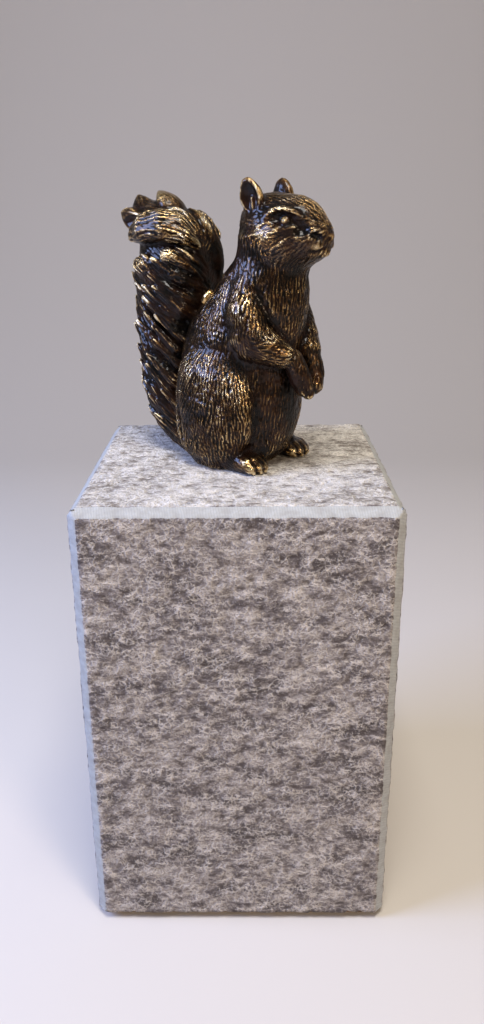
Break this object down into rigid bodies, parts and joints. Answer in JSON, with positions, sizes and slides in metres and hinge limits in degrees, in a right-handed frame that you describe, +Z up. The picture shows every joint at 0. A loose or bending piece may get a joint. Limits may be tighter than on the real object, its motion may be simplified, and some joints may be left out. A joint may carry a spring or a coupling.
{
  "type": "squirrel figurine",
  "caption": "Small hollow-cast bronze squirrel sitting upright with folded forepaws and a tall bushy tail, pinned to a square block of dressed stone that stands on felt.",
  "frame": {"origin": "middle of the felt's underside, where the object stands", "axes": "+Z up; -Y towards the stone's front face; the squirrel looks to +X and a little to -Y"},
  "size_m": [0.1, 0.1, 0.2425],
  "materials": {
    "bronze": "cast bronze with a near-black brown patina, rubbed golden on the ridges",
    "braze": "bright braze metal",
    "bronze_rod": "drawn bronze rod",
    "plate_brass": "sawn and turned brass",
    "zinc_steel": "zinc-plated steel",
    "resin": "set epoxy resin",
    "stone": "flamed grey-brown stone with honed bevels",
    "felt": "brown wool felt"
  },
  "bodies": {
    "root": {"body_casting": "bronze", "tail_casting": "bronze", "tail_braze_bead": "braze", "tail_pins": "bronze_rod", "core_plate": "plate_brass", "stud_nut": "zinc_steel", "mounting_stud": "zinc_steel", "turn_dowel": "zinc_steel", "stud_resin": "resin", "dowel_resin": "resin", "plinth_block": "stone", "felt_pad": "felt"}
  },
  "joints": []
}
